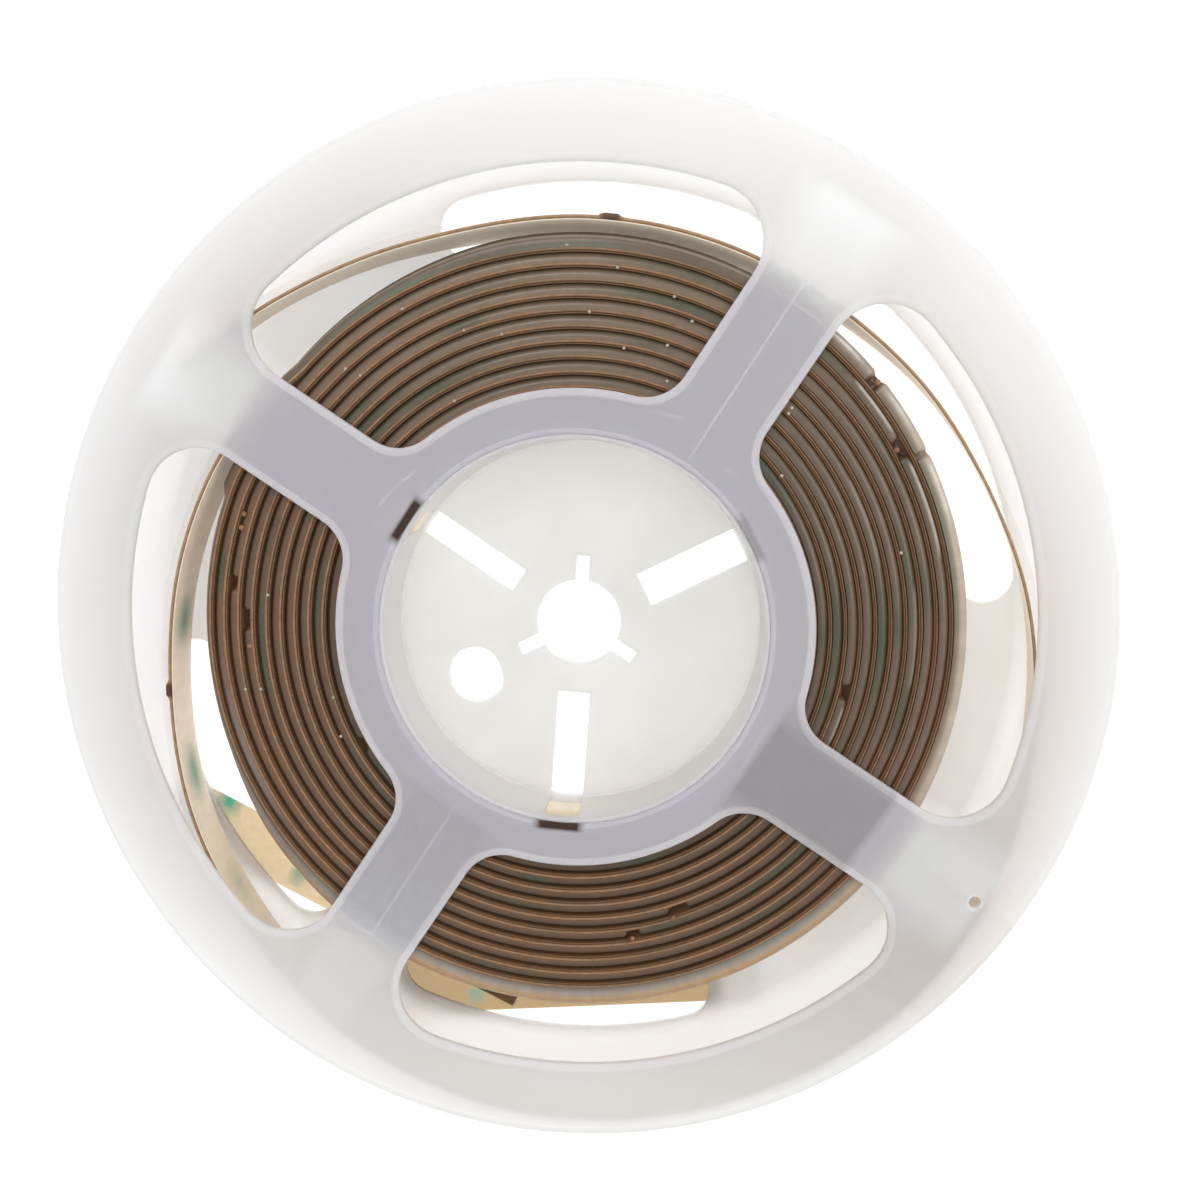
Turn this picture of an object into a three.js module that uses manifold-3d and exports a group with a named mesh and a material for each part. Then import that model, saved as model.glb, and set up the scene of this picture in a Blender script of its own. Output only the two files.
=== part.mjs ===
// LED strip light reel: a flexible LED strip wound on a two-part plastic reel.
// The reel lies flat: its axis is +Z and it rests on the ring under its rear flange.
// Units are millimetres. The origin is the centre of the base.

import * as THREE from "three";
import { mergeVertices } from "three/addons/utils/BufferGeometryUtils.js";
import Module from "manifold-3d";

const wasm = await Module();
wasm.setup();

// Reel.
const flangeRadius = 77;
const flangeThickness = 1.2;
const windingPlay = 0.6;
const baseRingHeight = 0.8;
const baseRingWidth = 4;
const hubBoreRadius = 27.8;
const barrelWall = 2.4;
const collarWall = 0.6;
const collarFit = 0.15;

// Windows in the flanges.
const rimWidth = 11.1;
const hubRingWidth = 6.35;
const spokeWidth = 14;
const spokeAngle = 56.3;
const windowCorner = 8;
const spokeRoot = 6.5;
const rearWebMargin = 3;
const rearSpokeCorner = 5;
const rearEndCorner = 4.3;
const rimHoleRadius = 0.9;
const rimHoleInset = 6.7;

// Hub floor.
const arborRadius = 6.45;
const keywayWidth = 2;
const keywayDepth = 3.7;
const floorSlotStart = 11.2;
const floorSlotWidths = [5.3, 3.9, 5.0];
const floorSlotAngle = 26;
const wallSlotSill = 0.4;
const wallSlotHeight = 9.4;
const sightHoleRadius = 4.2;
const sightHoleStretch = 1.08;
const sightHoleDistance = 18.2;
const sightHoleAngle = 208;

// Strip and its release liner.
const stripWidth = 10;
const stripThickness = 1.7;
const stripSeat = 0.3;
const linerMargin = 0.3;
const linerThickness = 0.16;
const linerGap = 0.06;
const turnGap = 0.21;
const barrelGap = 0.28;
const woundTurns = 12;
const stepAngle = 136;
const stepSpan = 22;
const stepsPerTurn = 36;
const looseSteps = 60;
const looseLean = 1.4;
const rimMargin = 0.3;

// The loose last turn: angle, and how much of the free room out to the rim it takes there.
const looseRoute = [
  [145, 0.07], [155, 0.17], [174, 0.26], [198, 0.43], [214, 0.58], [235, 0.79],
  [255, 0.94], [275, 1], [295, 0.99], [312, 0.95], [327, 0.85], [341, 0.71],
  [359, 0.545], [374, 0.415], [397, 0.285], [424, 0.21], [448, 0.21], [474, 0.285],
  [492, 0.47], [506, 0.69],
];

// Loose length of liner that lies flat under the rear flange: two straight legs. Each lies inside
// the windows' outer edge by its inset, and reaches to the left and to the right.
const tailAngles = [-27, 4.4];
const tailInsets = [8.9, 7.5];
const tailLeftLengths = [45, 44];
const tailRightLengths = [19, 25];

// Sizes that follow from the ones above.
const windingWidth = stripWidth + windingPlay;
const linerWidth = stripWidth - 2 * linerMargin;
const rearFlangeBottom = baseRingHeight;
const rearFlangeTop = rearFlangeBottom + flangeThickness;
const frontFlangeBottom = rearFlangeTop + windingWidth;
const frontFlangeTop = frontFlangeBottom + flangeThickness;
const barrelRadius = hubBoreRadius + barrelWall;
const collarRadius = hubBoreRadius + collarWall;
const frontHoleRadius = collarRadius + collarFit;
const hubRingRadius = frontHoleRadius + hubRingWidth;
const windowRadius = flangeRadius - rimWidth;
const baseRingInner = hubBoreRadius + barrelWall / 2;
const baseRingOuter = baseRingInner + baseRingWidth;
const rearChord = baseRingOuter + rearWebMargin;
const stripBottom = rearFlangeTop + stripSeat;
const linerBottom = stripBottom + (stripWidth - linerWidth) / 2;
const linerInset = linerGap + linerThickness;
const turnPitch = stripThickness + linerInset + turnGap;
const firstLine = barrelRadius + barrelGap + linerInset;
const lastLine = firstLine + turnPitch * (woundTurns - 1);
const looseRoom = flangeRadius - rimMargin - stripThickness - lastLine;

const radians = THREE.MathUtils.degToRad;
const polar = (radius, degrees) =>
  new THREE.Vector2(radius * Math.cos(radians(degrees)), radius * Math.sin(radians(degrees)));

// Closed meshes to solids and back.
function toSolid(geometry) {
  const plain = geometry.clone();
  plain.deleteAttribute("normal");
  plain.deleteAttribute("uv");
  const welded = mergeVertices(plain, 1e-4);
  const vertProperties = new Float32Array(welded.attributes.position.array);
  const triVerts = new Uint32Array(welded.index.array);
  return new wasm.Manifold(new wasm.Mesh({ numProp: 3, vertProperties, triVerts }));
}

function toGeometry(solid) {
  const mesh = solid.getMesh();
  const geometry = new THREE.BufferGeometry();
  geometry.setAttribute("position", new THREE.BufferAttribute(mesh.vertProperties, 3));
  geometry.setIndex(new THREE.BufferAttribute(mesh.triVerts, 1));
  geometry.computeVertexNormals();
  return geometry;
}

function plate(shape, bottom, thickness, curveSegments = 24) {
  const geometry = new THREE.ExtrudeGeometry(shape, { depth: thickness, bevelEnabled: false, curveSegments });
  return geometry.translate(0, 0, bottom);
}

// A ring turned about +Z from a closed profile of [radius, height] points.
function turnedRing(profile, segments = 60) {
  const points = [...profile, profile[0]].map(([radius, height]) => new THREE.Vector2(radius, height));
  return new THREE.LatheGeometry(points, segments).rotateX(Math.PI / 2);
}

// Outlines.
function disc(radius, segments) {
  const points = [];
  for (let step = 0; step < segments; step += 1) points.push(polar(radius, (360 * step) / segments));
  return points;
}

const turned = (points, degrees) =>
  points.map((point) => point.clone().rotateAround(new THREE.Vector2(), radians(degrees)));

const outline = (path, divisions) => {
  const points = path.getPoints(divisions);
  if (points[0].distanceTo(points.at(-1)) < 1e-6) points.pop();
  return points.filter((point, index) => index === 0 || point.distanceTo(points[index - 1]) > 1e-6);
};

// A window of the front flange, between the spokes that point along +X and +Y.
function frontWindow() {
  const side = spokeWidth / 2;
  const rootX = Math.sqrt((hubRingRadius + spokeRoot) ** 2 - (side + spokeRoot) ** 2);
  const rootTurn = Math.atan2(side + spokeRoot, rootX);
  const cornerX = Math.sqrt((windowRadius - windowCorner) ** 2 - (side + windowCorner) ** 2);
  const cornerTurn = Math.atan2(side + windowCorner, cornerX);
  const quarter = Math.PI / 2;
  const path = new THREE.Path();
  path.moveTo(rootX, side);
  path.lineTo(cornerX, side);
  path.absarc(cornerX, side + windowCorner, windowCorner, -quarter, cornerTurn, false);
  path.absarc(0, 0, windowRadius, cornerTurn, quarter - cornerTurn, false);
  path.absarc(side + windowCorner, cornerX, windowCorner, quarter - cornerTurn, 2 * quarter, false);
  path.lineTo(side, rootX);
  path.absarc(side + spokeRoot, rootX, spokeRoot, 2 * quarter, 3 * quarter - rootTurn, false);
  path.absarc(0, 0, hubRingRadius, quarter - rootTurn, rootTurn, true);
  path.absarc(rootX, side + spokeRoot, spokeRoot, 2 * quarter + rootTurn, 3 * quarter, false);
  return outline(path, 5);
}

// A window of the rear flange, beside the spoke that points along +X.
// Its inner edge is a straight chord, and its far end is round.
function rearWindow() {
  const side = spokeWidth / 2;
  const cornerX = Math.sqrt((windowRadius - rearSpokeCorner) ** 2 - (side + rearSpokeCorner) ** 2);
  const cornerTurn = Math.atan2(side + rearSpokeCorner, cornerX);
  const endX = rearChord + rearEndCorner;
  const endY = Math.sqrt((windowRadius - rearEndCorner) ** 2 - endX ** 2);
  const endTurn = Math.atan2(endY, endX);
  const quarter = Math.PI / 2;
  const path = new THREE.Path();
  path.moveTo(rearChord + rearEndCorner, side);
  path.lineTo(cornerX, side);
  path.absarc(cornerX, side + rearSpokeCorner, rearSpokeCorner, -quarter, cornerTurn, false);
  path.absarc(0, 0, windowRadius, cornerTurn, endTurn, false);
  path.absarc(endX, endY, rearEndCorner, endTurn, 2 * quarter, false);
  path.lineTo(rearChord, side + rearEndCorner);
  path.absarc(endX, side + rearEndCorner, rearEndCorner, 2 * quarter, 3 * quarter, false);
  return outline(path, 5);
}

const mirrored = (points) => points.map((point) => new THREE.Vector2(point.x, -point.y)).reverse();

// The arbor hole: round, with three keyways between the floor slots.
function arborHole() {
  const halfTurn = Math.asin(keywayWidth / 2 / arborRadius);
  const tip = arborRadius + keywayDepth;
  const points = [];
  for (let key = 0; key < 3; key += 1) {
    const axis = floorSlotAngle + 60 + 120 * key;
    const along = polar(1, axis);
    const across = polar(keywayWidth / 2, axis + 90);
    const root = Math.cos(halfTurn) * arborRadius;
    points.push(along.clone().multiplyScalar(root).sub(across));
    points.push(along.clone().multiplyScalar(tip).sub(across));
    points.push(along.clone().multiplyScalar(tip).add(across));
    points.push(along.clone().multiplyScalar(root).add(across));
    const from = axis + THREE.MathUtils.radToDeg(halfTurn);
    const span = 120 - 2 * THREE.MathUtils.radToDeg(halfTurn);
    for (let step = 1; step < 12; step += 1) points.push(polar(arborRadius, from + (span * step) / 12));
  }
  return points;
}

function floorSlot(index) {
  const half = floorSlotWidths[index] / 2;
  const far = hubBoreRadius + barrelWall / 2;
  const corners = [[floorSlotStart, -half], [far, -half], [far, half], [floorSlotStart, half]];
  return turned(corners.map(([x, y]) => new THREE.Vector2(x, y)), floorSlotAngle + 120 * index);
}

function sightHole() {
  const centre = polar(sightHoleDistance, sightHoleAngle);
  return disc(sightHoleRadius, 28).map((point) =>
    new THREE.Vector2(centre.x + point.x, centre.y + point.y * sightHoleStretch));
}

function withHoles(rim, holes) {
  const shape = new THREE.Shape(rim);
  shape.holes = holes.map((points) => new THREE.Path(points));
  return shape;
}

// Front flange: a thin disc with four windows, glued on the barrel's collar.
function frontFlange() {
  const holes = [disc(frontHoleRadius, 60)];
  for (let quarter = 0; quarter < 4; quarter += 1) {
    holes.push(turned(frontWindow(), spokeAngle + 90 * quarter));
  }
  const rimHole = polar(flangeRadius - rimHoleInset, spokeAngle - 90);
  holes.push(disc(rimHoleRadius, 12).map((point) => point.add(rimHole)));
  return plate(withHoles(disc(flangeRadius, 96), holes), frontFlangeBottom, flangeThickness);
}

// Rear flange: disc, hub floor, barrel, collar and base ring in one moulding.
function rearFlange() {
  const beside = rearWindow();
  const holes = [arborHole(), sightHole()];
  for (const axis of [spokeAngle, spokeAngle + 180]) {
    holes.push(turned(beside, axis), turned(mirrored(beside), axis));
  }
  for (let index = 0; index < 3; index += 1) holes.push(floorSlot(index));
  const disk = plate(withHoles(disc(flangeRadius, 96), holes), rearFlangeBottom, flangeThickness);

  const inside = (rearFlangeBottom + rearFlangeTop) / 2;
  const barrel = turnedRing([
    [hubBoreRadius, inside],
    [barrelRadius, inside],
    [barrelRadius, frontFlangeBottom],
    [collarRadius, frontFlangeBottom],
    [collarRadius, frontFlangeTop],
    [hubBoreRadius, frontFlangeTop],
  ]);
  const baseRing = turnedRing([
    [baseRingInner, 0],
    [baseRingOuter, 0],
    [baseRingOuter, inside],
    [baseRingInner, inside],
  ]);

  let solid = toSolid(disk).add(toSolid(barrel)).add(toSolid(baseRing));
  for (let index = 0; index < 3; index += 1) {
    const slot = new THREE.BoxGeometry(barrelWall * 2, floorSlotWidths[index], wallSlotHeight);
    slot.translate(hubBoreRadius + barrelWall / 2, 0, rearFlangeTop + wallSlotSill + wallSlotHeight / 2);
    slot.rotateZ(radians(floorSlotAngle + 120 * index));
    solid = solid.subtract(toSolid(slot));
  }
  return toGeometry(solid);
}

// Route of the strip's inner face, as points seen from above.
// Each wound turn is a true circle round the hub. It steps out by one pitch over a short
// stretch, where the strip climbs over its own start.
function woundRadius(degrees) {
  const start = stepAngle + stepSpan;
  const turnIndex = Math.floor((degrees - start) / 360);
  const within = degrees - start - 360 * turnIndex;
  const climb = THREE.MathUtils.smoothstep(within, 360 - stepSpan, 360);
  return firstLine + turnPitch * (turnIndex + climb);
}

function stripRoute() {
  const start = stepAngle + stepSpan;
  const end = stepAngle + 360 * woundTurns;
  const steps = Math.round(((end - start) / 360) * stepsPerTurn);
  const points = [];
  for (let step = 0; step < steps; step += 1) {
    const degrees = start + ((end - start) * step) / steps;
    points.push(polar(woundRadius(degrees), degrees));
  }
  const bends = [[stepAngle, 0], ...looseRoute].map(([degrees, share]) => {
    const point = polar(lastLine + looseRoom * share, degrees);
    return new THREE.Vector3(point.x, point.y, 0);
  });
  const loose = new THREE.CatmullRomCurve3(bends, false, "centripetal");
  const looseStart = points.length;
  for (const point of loose.getSpacedPoints(looseSteps)) points.push(new THREE.Vector2(point.x, point.y));
  return { points, looseStart };
}

// A band that stands on edge along the route, between two distances from it.
// The loose turn leans: its lower edge lies further out than its upper edge.
function standingBand(from, to, bottom, width) {
  const { points, looseStart } = stripRoute();
  const positions = [];
  const indices = [];
  points.forEach((point, index) => {
    const ahead = points[Math.min(index + 1, points.length - 1)];
    const behind = points[Math.max(index - 1, 0)];
    const outward = new THREE.Vector2(ahead.y - behind.y, behind.x - ahead.x).normalize();
    const loosened = (index - looseStart) / (points.length - looseStart);
    const reach = 1 - point.length() / (flangeRadius - rimMargin - stripThickness);
    const lean = looseLean * THREE.MathUtils.smoothstep(loosened, 0, 0.15) * Math.min(1, Math.max(0, reach * 12));
    const top = bottom + width;
    for (const [shift, height] of [[from, top], [to, top], [to, bottom], [from, bottom]]) {
      const away = shift + (lean * (stripBottom + stripWidth - height)) / stripWidth;
      positions.push(point.x + outward.x * away, point.y + outward.y * away, height);
    }
  });
  for (let index = 0; index < points.length - 1; index += 1) {
    const near = index * 4;
    for (let side = 0; side < 4; side += 1) {
      const next = (side + 1) % 4;
      const a = near + side;
      const b = near + next;
      // The two upright faces split along the same diagonal, so that two bands side by side stay parallel.
      if (side === 3) indices.push(a, b, b + 4, a, b + 4, a + 4);
      else indices.push(a, b, a + 4, b, b + 4, a + 4);
    }
  }
  const last = (points.length - 1) * 4;
  indices.push(0, 2, 1, 0, 3, 2);
  indices.push(last, last + 1, last + 2, last, last + 2, last + 3);
  const geometry = new THREE.BufferGeometry();
  geometry.setAttribute("position", new THREE.Float32BufferAttribute(positions, 3));
  geometry.setIndex(indices);
  geometry.computeVertexNormals();
  return geometry;
}

// The loose length of liner: two straight legs, lying flat.
function linerTail() {
  const legs = tailAngles.map((angle, index) => {
    const left = tailLeftLengths[index];
    const right = tailRightLengths[index];
    const leg = new THREE.BoxGeometry(left + right, linerWidth, linerThickness);
    leg.translate((right - left) / 2, tailInsets[index] - windowRadius, linerThickness / 2);
    return toSolid(leg.rotateZ(radians(angle)));
  });
  return toGeometry(legs[0].add(legs[1]));
}

// The object.
const milky = { color: 0xf2f1ee, roughness: 0.4, metalness: 0 };
const part = new THREE.Group();

function add(name, geometry, look) {
  const mesh = new THREE.Mesh(geometry, new THREE.MeshStandardMaterial(look));
  mesh.name = name;
  part.add(mesh);
}

add("front_flange", frontFlange(), milky);
add("rear_flange", rearFlange(), milky);
add("led_strip", standingBand(0, stripThickness, stripBottom, stripWidth),
  { color: 0x6b5f56, roughness: 0.35, metalness: 0 });
add("release_liner", standingBand(-linerInset, -linerGap, linerBottom, linerWidth),
  { color: 0xb08a5c, roughness: 0.7, metalness: 0 });
add("liner_tail", linerTail(), { color: 0xc9a468, roughness: 0.7, metalness: 0 });

export default part;
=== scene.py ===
"""LED strip light reel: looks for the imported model, seen as in the photograph.

Lengths are written in millimetres and turned into metres where meshes are made.
The axes are the model's own: +Z along the reel's axis, towards the front flange.
"""

import math
import random

import bpy
from mathutils import Matrix, Vector
from mathutils.geometry import tessellate_polygon


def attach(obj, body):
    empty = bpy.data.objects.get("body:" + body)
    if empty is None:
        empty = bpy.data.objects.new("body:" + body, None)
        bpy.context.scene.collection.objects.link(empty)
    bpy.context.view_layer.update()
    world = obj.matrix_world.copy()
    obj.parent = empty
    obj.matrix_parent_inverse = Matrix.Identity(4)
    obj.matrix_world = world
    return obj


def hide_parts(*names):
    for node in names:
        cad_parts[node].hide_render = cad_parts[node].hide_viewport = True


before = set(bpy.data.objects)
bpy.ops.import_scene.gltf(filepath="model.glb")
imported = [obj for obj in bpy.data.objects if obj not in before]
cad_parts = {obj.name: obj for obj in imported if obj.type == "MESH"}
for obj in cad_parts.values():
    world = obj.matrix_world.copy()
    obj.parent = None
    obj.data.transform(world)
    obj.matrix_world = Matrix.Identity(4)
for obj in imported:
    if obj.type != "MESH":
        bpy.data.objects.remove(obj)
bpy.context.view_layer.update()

MM = 0.001
FRONT_REACH = 0.0085
REAR_REACH = 0.006

# Sizes, as in the part's source.
FLANGE_R = 77.0
REAR_Z = (0.8, 2.0)
FRONT_Z = (12.6, 13.8)
HUB_BORE_R = 27.8
BARREL_R = 30.2
COLLAR_R = 28.4
FRONT_HOLE_R = 28.45
HUB_RING_R = 34.9
WINDOW_R = 65.9
SPOKE_WIDTH = 14.0
SPOKE_ANGLE = 56.3
WINDOW_CORNER = 8.0
SPOKE_ROOT = 6.5
BASE_RING = (29.0, 33.0)
REAR_CHORD = 36.0
REAR_SPOKE_CORNER = 5.0
REAR_END_CORNER = 4.3
ARBOR_R = 6.45
KEYWAY = (2.0, 3.7)
FLOOR_SLOT_START = 11.2
FLOOR_SLOT_WIDTHS = (5.3, 3.9, 5.0)
FLOOR_SLOT_ANGLE = 26.0
WALL_SLOT_Z = (2.4, 11.8)
RIM_HOLE = (70.3, -33.7, 0.9)

STRIP_Z = (2.3, 12.3)
LINER_Z = (2.6, 12.0)
STRIP_THICKNESS = 1.7
TAPE_THICKNESS = 0.4
LINER_GAP = 0.06
LINER_THICKNESS = 0.16
PITCH = 2.13
FIRST_LINE = 30.7
TURNS = 12
LAST_LINE = FIRST_LINE + PITCH * (TURNS - 1)
STEP_ANGLE = 136.0
STEP_SPAN = 22.0
RIM_MARGIN = 0.3
LOOSE_ROOM = FLANGE_R - RIM_MARGIN - STRIP_THICKNESS - LAST_LINE
LOOSE_LEAN = 1.4
LOOSE_ROUTE = [
    (136, 0), (145, 0.07), (155, 0.17), (174, 0.26), (198, 0.43), (214, 0.58),
    (235, 0.79), (255, 0.94), (275, 1), (295, 0.99), (312, 0.95), (327, 0.85),
    (341, 0.71), (359, 0.545), (374, 0.415), (397, 0.285), (424, 0.21), (448, 0.21),
    (474, 0.285), (492, 0.47), (506, 0.69),
]


def polar(radius, degrees):
    angle = math.radians(degrees)
    return (radius * math.cos(angle), radius * math.sin(angle))


def smooth(value, low, high):
    """Goes from 0 at low to 1 at high, with soft ends."""
    share = min(1.0, max(0.0, (value - low) / (high - low)))
    return share * share * (3 - 2 * share)


def linear(colour):
    """An sRGB colour of 0 to 255 as linear values."""
    out = []
    for channel in colour:
        value = channel / 255
        out.append(value / 12.92 if value <= 0.04045 else ((value + 0.055) / 1.055) ** 2.4)
    return tuple(out)


def mixed(first, second, share):
    return tuple(a + (b - a) * share for a, b in zip(first, second))


# Camera and lights.
def look_at(thing, target):
    """Turns a camera or lamp to a point, with +Y as near to upwards in its view as can be."""
    back = (thing.location - Vector(target)).normalized()
    right = Vector((0, 1, 0)).cross(back).normalized()
    up = back.cross(right)
    thing.rotation_euler = Matrix((right, up, back)).transposed().to_euler()


camera = bpy.data.objects.new("camera", bpy.data.cameras.new("camera"))
bpy.context.scene.collection.objects.link(camera)
camera.location = Vector((14.415, 24.316, 178.305)) * MM
camera.data.sensor_width = 36
camera.data.lens = 1154.86 / 1188 * 36
camera.data.clip_start = 0.01
look_at(camera, Vector((2.202, 4.041, 0)) * MM)
bpy.context.scene.camera = camera


def soft_light(name, place, size, watts, target=(0, 0, 0)):
    lamp = bpy.data.lights.new(name, "AREA")
    lamp.shape = "DISK"
    lamp.size = size
    lamp.energy = watts
    thing = bpy.data.objects.new(name, lamp)
    bpy.context.scene.collection.objects.link(thing)
    thing.location = place
    look_at(thing, target)
    return thing


soft_light("key_light", (-0.15, 0.5, 0.75), 0.35, 1.1)
soft_light("side_light", (0.5, 0.12, 0.42), 0.35, 0.6)

world = bpy.data.worlds.new("studio")
bpy.context.scene.world = world
world.use_nodes = True
world.node_tree.nodes["Background"].inputs["Color"].default_value = (1, 1, 1, 1)
world.node_tree.nodes["Background"].inputs["Strength"].default_value = 0.7

settings = bpy.context.scene
settings.view_settings.view_transform = "Standard"
settings.view_settings.look = "None"
settings.cycles.use_denoising = True
settings.cycles.use_adaptive_sampling = True
settings.cycles.adaptive_threshold = 0.04
settings.cycles.adaptive_min_samples = 24
settings.cycles.max_bounces = 8
settings.cycles.diffuse_bounces = 4
settings.cycles.glossy_bounces = 2
settings.cycles.transmission_bounces = 2
settings.cycles.transparent_max_bounces = 6
settings.cycles.caustics_reflective = False
settings.cycles.caustics_refractive = False


# Materials.
class Nodes:
    """A material's node tree, with short calls to add and join nodes."""

    def __init__(self, name):
        self.material = bpy.data.materials.new(name)
        self.material.use_nodes = True
        self.tree = self.material.node_tree
        self.shader = self.tree.nodes["Principled BSDF"]

    def add(self, kind, **values):
        node = self.tree.nodes.new("ShaderNode" + kind)
        for key, value in values.items():
            setattr(node, key, value)
        return node

    def join(self, source, target):
        self.tree.links.new(source, target)

    def set(self, **values):
        for key, value in values.items():
            self.shader.inputs[key.replace("_", " ")].default_value = value

    def place(self):
        return self.add("TexCoord").outputs["Object"]

    def noise(self, scale, detail=3, rough=0.5, vector=None, squash=None):
        node = self.add("TexNoise")
        node.inputs["Scale"].default_value = scale
        node.inputs["Detail"].default_value = detail
        node.inputs["Roughness"].default_value = rough
        source = vector or self.place()
        if squash:
            mapping = self.add("Mapping")
            mapping.inputs["Scale"].default_value = squash
            self.join(source, mapping.inputs["Vector"])
            source = mapping.outputs["Vector"]
        self.join(source, node.inputs["Vector"])
        return node.outputs["Fac"]

    def ramp(self, factor, stops):
        node = self.add("ValToRGB")
        band = node.color_ramp
        while len(band.elements) < len(stops):
            band.elements.new(0.5)
        for element, (position, colour) in zip(band.elements, stops):
            element.position = position
            element.color = (*colour, 1)
        self.join(factor, node.inputs["Fac"])
        return node.outputs["Color"]

    def grey(self, factor, low, high, from_low=0.0, from_high=1.0):
        node = self.add("MapRange")
        node.inputs["From Min"].default_value = from_low
        node.inputs["From Max"].default_value = from_high
        node.inputs["To Min"].default_value = low
        node.inputs["To Max"].default_value = high
        self.join(factor, node.inputs["Value"])
        return node.outputs["Result"]

    def blend(self, factor, first, second, mode="MIX"):
        node = self.add("Mix", data_type="RGBA", blend_type=mode)
        for value, socket in ((factor, 0), (first, 6), (second, 7)):
            if isinstance(value, (int, float)):
                node.inputs[socket].default_value = value
            elif isinstance(value, tuple):
                node.inputs[socket].default_value = (*value, 1)
            else:
                self.join(value, node.inputs[socket])
        return node.outputs[2]

    def math(self, operation, first, second=None):
        node = self.add("Math", operation=operation)
        for value, socket in ((first, node.inputs[0]), (second, node.inputs[1])):
            if isinstance(value, (int, float)):
                socket.default_value = value
            elif value is not None:
                self.join(value, socket)
        return node.outputs[0]

    def bump(self, height, strength, distance):
        node = self.add("Bump")
        node.inputs["Strength"].default_value = strength
        node.inputs["Distance"].default_value = distance
        self.join(height, node.inputs["Height"])
        self.join(node.outputs["Normal"], self.shader.inputs["Normal"])


def line_mask(nodes, lines):
    """1 along thin straight lines and 0 elsewhere. A line is its two ends, width and strength, in millimetres."""
    total = 0.0
    for (ax, ay), (bx, by), width, strength in lines:
        half = math.dist((ax, ay), (bx, by)) / 2
        local = nodes.add("Mapping", vector_type="TEXTURE")
        local.inputs["Location"].default_value = ((ax + bx) / 2 * MM, (ay + by) / 2 * MM, 0)
        local.inputs["Rotation"].default_value = (0, 0, math.atan2(by - ay, bx - ax))
        nodes.join(nodes.place(), local.inputs["Vector"])
        parts = nodes.add("SeparateXYZ")
        nodes.join(local.outputs["Vector"], parts.inputs[0])
        along = nodes.math("ABSOLUTE", parts.outputs["X"])
        across = nodes.math("ABSOLUTE", parts.outputs["Y"])
        near = nodes.grey(across, strength, 0, width * 0.2 * MM, width * 0.5 * MM)
        within = nodes.grey(along, 1, 0, (half - 1.5) * MM, half * MM)
        total = nodes.math("MAXIMUM", total, nodes.math("MULTIPLY", near, within))
    return total


def radius_share(nodes, low, high):
    """0 nearer the axis than low and 1 beyond high, in millimetres."""
    flat = nodes.add("Mapping")
    flat.inputs["Scale"].default_value = (1, 1, 0)
    nodes.join(nodes.place(), flat.inputs["Vector"])
    radius = nodes.add("VectorMath", operation="LENGTH")
    nodes.join(flat.outputs["Vector"], radius.inputs[0])
    return nodes.grey(radius.outputs["Value"], 0, 1, low * MM, high * MM)


def milky_plastic(name, tint, depth, reach, edge_tint, lines=()):
    """Translucent moulded plastic: light scatters through it and comes out of both faces.

    Along the lips, the raised lines and the rear plate's barrel it scatters within a shorter reach and takes a paler
    colour; on the barrel the paler colour is painted light.
    It carries a painted shade, darker and warmer towards the lower right. Gives the nodes and the colour, to be
    changed and joined.
    """
    nodes = Nodes(name)
    edge = nodes.add("VertexColor", layer_name="edge").outputs["Color"]
    if lines:
        edge = nodes.math("MAXIMUM", edge, line_mask(nodes, lines))
    edge_depth = tuple(d * 0.6 for d in depth)
    nodes.join(nodes.blend(edge, depth, edge_depth), nodes.shader.inputs["Subsurface Radius"])
    nodes.shader.subsurface_method = "RANDOM_WALK"
    paler = mixed(tint, (1, 1, 1), 0.3)
    colour = nodes.ramp(nodes.noise(38, 3), [(0.3, tint), (0.7, paler)])
    colour = nodes.blend(edge, colour, edge_tint)
    # Painted shade: the colour is multiplied darker and warmer towards the lower right.
    towards = nodes.add("VectorMath", operation="DOT_PRODUCT")
    towards.inputs[1].default_value = (0.55, -0.83, 0)
    nodes.join(nodes.place(), towards.inputs[0])
    lower_right_shade = nodes.grey(towards.outputs["Value"], 0, 1, -0.01, 0.075)
    colour = nodes.blend(lower_right_shade, colour, (0.925, 0.91, 0.89), "MULTIPLY")
    nodes.set(Subsurface_Weight=1.0, Subsurface_Scale=reach, IOR=1.46)
    nodes.join(nodes.grey(nodes.noise(90, 4), 0.36, 0.5, 0.3, 0.7), nodes.shader.inputs["Roughness"])
    nodes.bump(nodes.noise(140, 3), 0.12, 0.0004)
    return nodes, colour


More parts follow.
